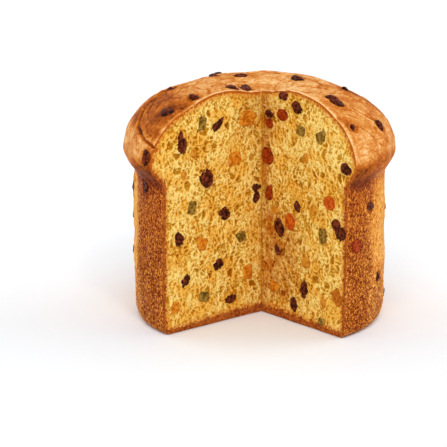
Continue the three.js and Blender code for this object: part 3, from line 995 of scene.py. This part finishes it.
def brownness(points):
    """How dark each place of the outside is, from 0, pale gold, to 1, nearly black: its baked colour,
    with painted shade under the rim, in folds, near the cut edges and on the right side, and painted
    light along the cut edges and at the left side.
    """
    turn, r, climb = place_on_dome(points)
    z = points[:, 2]
    dome = step(103, 112, z)
    patch = layered(points, 34, 3, 80)
    streak = layered(points, (6, 6, 22), 2, 84)
    # Darker near both cut edges and low at the front: partly the side's baked brown, partly painted shade
    # where the side lamps reach less; the patches at the back are baked.
    wavy = turn + 5 * layered(points, 20, 2, 88)
    front = step(71, 60, wavy) * step(0, 20, turn) + 1.1 * step(-71, -61, wavy) * step(0, -20, turn)
    front = np.maximum(front, 0.75 * step(50, 12, z) * step(98, 78, np.abs(wavy)))
    back = step(-0.5, 0.6, noise(points, 55, 86) + 0.4 * patch) * step(96, 130, np.abs(turn))
    front = front + 0.55 * back
    wall = 0.25 + 0.38 * np.clip(front, 0, 1.1) + 0.05 * patch + 0.05 * streak
    # Darker near the base, as baked, and just under the rim: there partly baked brown, partly painted shade
    # under the overhang.
    wall += 0.08 * step(22, 4, z) + 0.05 * step(90, 99, z)
    # Lighter towards the left silhouette: painted light.
    wall -= 0.08 * step(-66, -72, turn) * step(-110, -90, turn)
    wall += 0.07 * front * step(70, 40, z)
    top = 0.31 + 0.08 * patch - 0.11 * step(45, 80, climb)
    # Darker below the rim's widest: partly baked brown, partly painted shade on the rim's underside.
    top += 0.22 * step(8, -3, climb) + 0.04 * streak
    inner = step(-98, -84, turn) * step(-36, -44, turn) * step(16, 26, climb) * step(60, 48, climb)
    bulge = step(-120, -100, turn) * step(-36, -46, turn) * step(34, 24, climb)
    top += 0.36 * inner - 0.05 * bulge
    # Painted shade along the folds of the dome's skin.
    for away, _, deep in fold_parts(turn, climb, r):
        top += (0.18 * deep) * np.exp(-((away / 0.6) ** 2))
    cracks = creases(points, (15, 15, 9), 90, 20)
    top += 0.40 * cracks * step(0.0, 0.4, noise(points, 26, 91)) * step(15, 40, climb)
    # The rim's underside darker, most near the cut edges: partly baked brown, partly painted shade under
    # the overhang.
    under = (0.08 + 0.27 * step(72, 52, np.abs(turn))) * step(122, 113, z) * step(99, 107, z)
    shadow_side = step(90, 96, turn) * step(124, 98, turn) * step(-4, 14, climb) * step(66, 44, climb)
    halo = 0.22 * np.exp(-(((fruit_distance(points) - 4.5) / 3.5) ** 2))
    # Painted highlight: the dome's skin is lighter along the cut edges.
    for side in (-1, 1):
        out, _, depth = cut_face_frame(points, side)
        top = top - 0.30 * step(3.0, 1.0, depth) * step(0, 3, out) * step(10, 25, climb)
    return clamp01((1 - dome) * wall + dome * (top + 0.24 * shadow_side) + halo + under), dome


# How thick the crust is where the knife has cut it: on the dome, on the side, and at the base near
# the notch's corner and far from it
DOME_CRUST = 1.9
SIDE_CRUST = 2.9
BASE_CRUST_INNER = 5.4
BASE_CRUST_OUTER = 3.4

# Rounds of smoothing to find the hollows, how far from a cut face its edge is worked out, and what
# each point of the loaf is given.
CAVITY_ROUNDS = 14
EDGE_DEPTH = 6
LOAF_VALUES = ("brown", "dome", "depth", "edge", "band", "corner", "cavity")


def finish_loaf(mesh):
    """Adds the values that the two materials of the loaf read."""
    co = points_of(mesh)
    brown, dome = brownness(co)
    left = cut_face_frame(co, -1)
    right = cut_face_frame(co, 1)
    on_left = np.abs(left[2]) < np.abs(right[2])
    out = np.where(on_left, left[0], right[0])
    depth = np.where(on_left, left[2], right[2])
    up = co[:, 2]
    band = step(108, 116, up)
    edge = np.full(len(co), 50.0)
    for side, mine in ((-1, on_left), (1, ~on_left)):
        near = mine & (np.abs(depth) < EDGE_DEPTH)
        edge[near] = side_distance(out[near], up[near], side)
    edge = edge - (SIDE_CRUST + (DOME_CRUST - SIDE_CRUST) * band)
    base = BASE_CRUST_INNER + (BASE_CRUST_OUTER - BASE_CRUST_INNER) * step(20, 85, out)
    edge = np.minimum(edge, up - base)
    # Painted shade with some darker crumb: darker near the notch's corner, the right face more, low on the
    # right face near the corner, and high up near it.
    corner = np.where(on_left, 0.2, 0.8) * step(15, 3, out)
    inner = 1.1 * step(52, 12, out) * step(90, 62, up) * step(6, 22, up)
    corner = np.clip(np.maximum(corner, np.where(on_left, 0, inner)), 0, 1)
    corner = np.maximum(corner, 0.35 * step(30, 8, out) * step(118, 132, up))
    cavity = cavity_of(mesh, CAVITY_ROUNDS)
    for name, values in zip(LOAF_VALUES, (brown, dome, depth, edge, band, corner, cavity)):
        set_attribute(mesh, name, values)
    set_attribute(mesh, "kept", np.ones(len(co)))


def mend_new_points(mesh):
    """Points that a parting cut has added take the mean of their neighbours' values."""
    new = get_attribute(mesh, "kept") < 0.999
    edges = edges_of(mesh)
    both = np.concatenate([edges, edges[:, ::-1]])
    both = both[new[both[:, 0]] & ~new[both[:, 1]]]
    count = np.bincount(both[:, 0], minlength=len(new))
    told = new & (count > 0)
    for name in LOAF_VALUES:
        values = get_attribute(mesh, name)
        total = np.bincount(both[:, 0], values[both[:, 1]], len(new))
        values[told] = total[told] / count[told]
        set_attribute(mesh, name, values)


# The parting cuts: how far they lie behind the notch's corner, how far their boxes reach, the boxes'
# lower and upper ends, and the angle in degrees from which an edge is left sharp.
SLAB = 9.0
FAR = 260.0
BOX_ENDS = (-30.0, 230.0)
SHARP_ANGLE = 62


def parting_box(name, corners):
    """A closed prism over a four-cornered outline, from below the loaf to above it."""
    co = np.array([(x, y, z) for z in BOX_ENDS for x, y in corners])
    quads = [(3, 2, 1, 0), (4, 5, 6, 7)] + [(i, (i + 1) % 4, (i + 1) % 4 + 4, i + 4) for i in range(4)]
    tris = np.array([t for a, b, c, d in quads for t in ((a, b, c), (a, c, d))])
    return make_object(name, co, tris, [CRUMB, CRUST])


def build_loaf():
    whole = make_object("whole", *whole_loaf(), [CRUST, CRUMB])
    tool_co, tool_tris = wedge_tool()
    tool = make_object("tool", tool_co, tool_tris, [CRUST, CRUMB], np.ones(len(tool_tris)))
    cut(whole, tool, "DIFFERENCE")
    finish_loaf(whole.data)
    front = direction(0.5 * (FACE_TURN[-1] + FACE_TURN[1]))
    half = math.radians(0.5 * (FACE_TURN[1] - FACE_TURN[-1]))
    middle = np.array([CORNER_X, CORNER_Y]) - front * SLAB / math.sin(half)
    made = []
    for name, side, ahead in (
        ("loaf_cut_left", -1, 1),
        ("loaf_cut_right", 1, 1),
        ("loaf_back_left", -1, -1),
        ("loaf_back_right", 1, -1),
    ):
        along = FAR * direction(FACE_TURN[side])
        across = FAR * ahead * front
        corners = [middle, middle + along, middle + along + across, middle + across]
        if along[0] * across[1] - along[1] * across[0] < 0:
            corners = corners[::-1]
        box = parting_box(name + "_box", corners)
        piece = whole.copy()
        piece.name = name
        piece.data = whole.data.copy()
        link(piece)
        cut(piece, box, "INTERSECT")
        mend_new_points(piece.data)
        piece.data.shade_smooth()
        piece.data.set_sharp_from_angle(angle=math.radians(SHARP_ANGLE))
        made.append(piece)
    bpy.data.objects.remove(whole)
    return made


# Fruit
def ball(levels):
    made = bmesh.new()
    bmesh.ops.create_icosphere(made, subdivisions=levels, radius=1)
    made.verts.ensure_lookup_table()
    co = np.array([v.co[:] for v in made.verts])
    tris = np.array([[v.index for v in f.verts] for f in made.faces])
    made.free()
    return co, tris


BALLS = {"fine": ball(5), "plain": ball(4)}


def raisin_shape(p, wide, high, seed):
    """A wrinkled lump, longer along its own height."""
    at = p + 7.3 * seed
    long_folds = creases(at, (0.55, 1.4, 0.55), 100 + seed, 2)
    small_folds = creases(at, (0.26, 0.6, 0.26), 140 + seed, 2)
    size = 1.10 + 0.18 * noise(at, 1.0, 60 + seed) - 0.26 * long_folds - 0.14 * small_folds
    size += 0.03 * noise(at, 0.12, 180 + seed)
    shaped = p * size[:, None] * np.array([wide / 2, high / 2, FRUIT_HALF_THICK])
    # The second value is painted shade, darker along the raisin's folds.
    return shaped, 0.5 * long_folds + 0.3 * small_folds - 0.35


def smooth_fruit_shape(p, wide, high, seed):
    """A soft candied piece, cut through by the knife, so that it is flat on top."""
    at = p + 5.1 * seed
    size = 1.02 + 0.16 * noise(at, 0.9, 30 + seed) + 0.05 * noise(at, 0.35, 70 + seed)
    shaped = p * size[:, None] * np.array([wide / 2, high / 2, FRUIT_HALF_THICK])
    top = 0.66 * FRUIT_HALF_THICK + 0.16 * noise(at, 0.5, 90 + seed)
    over = np.maximum(shaped[:, 2] - top, 0)
    shaped[:, 2] -= 0.85 * over
    return shaped, -0.2 * step(0, 0.2, over)


def peel_shape(p, wide, high, seed):
    """A block of candied peel with rounded edges, cut askew."""
    power = 5.0
    length = (np.abs(p) ** power).sum(axis=1) ** (1 / power)
    block = p / length[:, None]
    at = block + 9.7 * seed
    lean, pinch = noise(np.array([[seed * 1.7, 0.3, 0.2], [seed * 2.9, 0.6, 0.1]]), 1, 50)
    block = block * (1 + 0.08 * noise(at, 0.8, 20 + seed) + 0.04 * noise(at, 0.3, 21))[:, None]
    x = block[:, 0] * (1 + 0.22 * pinch * block[:, 1]) + 0.28 * lean * block[:, 1]
    y = block[:, 1] * (1 - 0.14 * lean * block[:, 0])
    z = block[:, 2] * (0.80 - 0.06 * (1 - block[:, 0] ** 2) * (1 - block[:, 1] ** 2))
    z = z + 0.05 * noise(at, 0.3, 22)
    shaped = np.stack([x * wide / 2, y * high / 2, z * 0.86 * FRUIT_HALF_THICK], axis=1)
    return shaped, 0.25 * noise(at, 0.9, 23) - 0.1


# Each kind's piece, slot and shape.
KINDS = {
    "raisin": ("raisins", "raisin", raisin_shape),
    "cherry": ("candied_red_fruit", "orange_peel", smooth_fruit_shape),
    "amber": ("candied_amber_peel", "orange_peel", smooth_fruit_shape),
    "orange": ("candied_orange_peel", "orange_peel", peel_shape),
    "toffee": ("dark_candied_peel", "orange_peel", peel_shape),
    "soft": ("faint_candied_peel", "orange_peel", smooth_fruit_shape),
    "citron": ("candied_citron", "citron", peel_shape),
}
GATHERED = {kind: [] for kind in KINDS}


def unit(v):
    return v / np.linalg.norm(v)


def place_fruit(kind, fineness, wide, high, roll, at, normal, up):
    """Sets a piece of fruit flat on a surface and gathers it with its kind. Those of the crown are
    plumper, as neither a knife nor a mould has pressed them."""
    seed = len(GATHERED[kind]) + 1
    points, tris = BALLS[fineness]
    shaped, shade = KINDS[kind][2](points, wide, high, seed)
    x, y = rolled(shaped[:, 0], shaped[:, 1], roll)
    across = unit(np.cross(up, normal))
    along = np.cross(normal, across)
    centre = at - FRUIT_SUNK * normal
    thick = OUTSIDE_PLUMP if fineness == "plain" and at[2] > UNDER_RIM_Z else 1.0
    co = centre + x[:, None] * across + y[:, None] * along + thick * shaped[:, 2:] * normal
    GATHERED[kind].append((co, shade, tris))


def build_fruit():
    for side, fruit in ((-1, LEFT_FACE), (1, RIGHT_FACE)):
        outward = np.array([*direction(FACE_TURN[side]), 0])
        normal = side * np.array([outward[1], -outward[0], 0])
        for out, up, kind, wide, high, roll in fruit:
            at = np.array([CORNER_X, CORNER_Y, up]) + out * outward
            place_fruit(kind, "fine", wide, high, side * roll, at, normal, np.array([0, 0, 1.0]))
    for turn, stretch, climb, kind, long, wide, roll in CRUST_FRUIT:
        level = fruit_level(stretch, climb)
        at = outside(level, turn)
        across = outside(level, turn + 2) - at
        up = unit(outside(level + 0.02, turn) - at)
        normal = unit(np.cross(across, up))
        place_fruit(kind, "plain", long, wide, roll, at, normal, up)
    made = []
    for kind, (name, slot, _) in KINDS.items():
        many = GATHERED[kind]
        co = np.concatenate([item[0] for item in many])
        starts = np.cumsum([0] + [len(item[0]) for item in many[:-1]])
        tris = np.concatenate([item[2] + start for item, start in zip(many, starts)])
        piece = make_object(name, co, tris, [fruit_material(name, *FRUIT_LOOKS[kind])])
        set_attribute(piece.data, "shade", np.concatenate([item[1] for item in many]))
        piece.data.shade_smooth()
        made.append(piece)
    return made


loaf = build_loaf()
for piece in loaf + build_fruit():
    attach(piece, BODY)
    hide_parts(NODE)


# Floor, light and camera, in metres
FLOOR_HALF = 3.0
FLOOR_Z = -0.0005
FLOOR_COLOUR = (0.93, 0.96, 0.99, 1)
WORLD_LIGHT = 0.66

# Each light's turn round the loaf, its tilt above the floor, how wide it is, in degrees, and its
# strength.
SUNS = {
    "key": (6, 48, 40, 1.15),
    "glint": (24, 46, 4, 0.16),
    "right_side": (112, 24, 50, 0.75),
    "left_side": (-112, 24, 50, 0.55),
}

# The camera stands a little to the right of the notch's middle and looks slightly down.
CAMERA_TURN = 5.43
CAMERA_TILT = 15.87
CAMERA_AWAY = 1.8
CAMERA_LENS = 213.8
CAMERA_AIM = Vector((-0.02333, -0.00222, 0.06146))


def build_floor():
    mesh = bpy.data.meshes.new("floor")
    corners = [(x * FLOOR_HALF, y * FLOOR_HALF, FLOOR_Z) for x, y in ((-1, -1), (1, -1), (1, 1), (-1, 1))]
    mesh.from_pydata(corners, [], [(0, 1, 2, 3)])
    floor = bpy.data.objects.new("floor", mesh)
    link(floor)
    material, _, shader = new_material("pale floor", 0.7, 0.2)
    shader.inputs["Base Color"].default_value = FLOOR_COLOUR
    mesh.materials.append(material)


def aimed(name, data, turn, tilt, away=0.0, aim=Vector()):
    """A light or a camera that looks back at aim from a turn, a tilt and a distance."""
    a, e = math.radians(turn), math.radians(tilt)
    back = Vector((math.sin(a) * math.cos(e), -math.cos(a) * math.cos(e), math.sin(e)))
    made = bpy.data.objects.new(name, data)
    made.location = aim + away * back
    made.rotation_mode = "QUATERNION"
    made.rotation_quaternion = (-back).to_track_quat("-Z", "Y")
    link(made)
    return made


def build_lights():
    for name, (turn, tilt, wide, strength) in SUNS.items():
        data = bpy.data.lights.new(name, "SUN")
        data.angle = math.radians(wide)
        data.energy = strength
        aimed(name, data, turn, tilt)
    world = bpy.data.worlds.new("studio")
    world.use_nodes = True
    background = world.node_tree.nodes["Background"]
    background.inputs[0].default_value = (1, 1, 1, 1)
    background.inputs[1].default_value = WORLD_LIGHT
    bpy.context.scene.world = world
    bpy.context.scene.view_settings.view_transform = "Standard"
    bpy.context.scene.view_settings.look = "None"


def build_camera():
    data = bpy.data.cameras.new("camera")
    data.lens = CAMERA_LENS
    data.sensor_width = 36
    data.clip_start, data.clip_end = 0.05, 20
    data.dof.use_dof = False
    bpy.context.scene.camera = aimed("camera", data, CAMERA_TURN, CAMERA_TILT, CAMERA_AWAY, CAMERA_AIM)


build_floor()
build_lights()
build_camera()
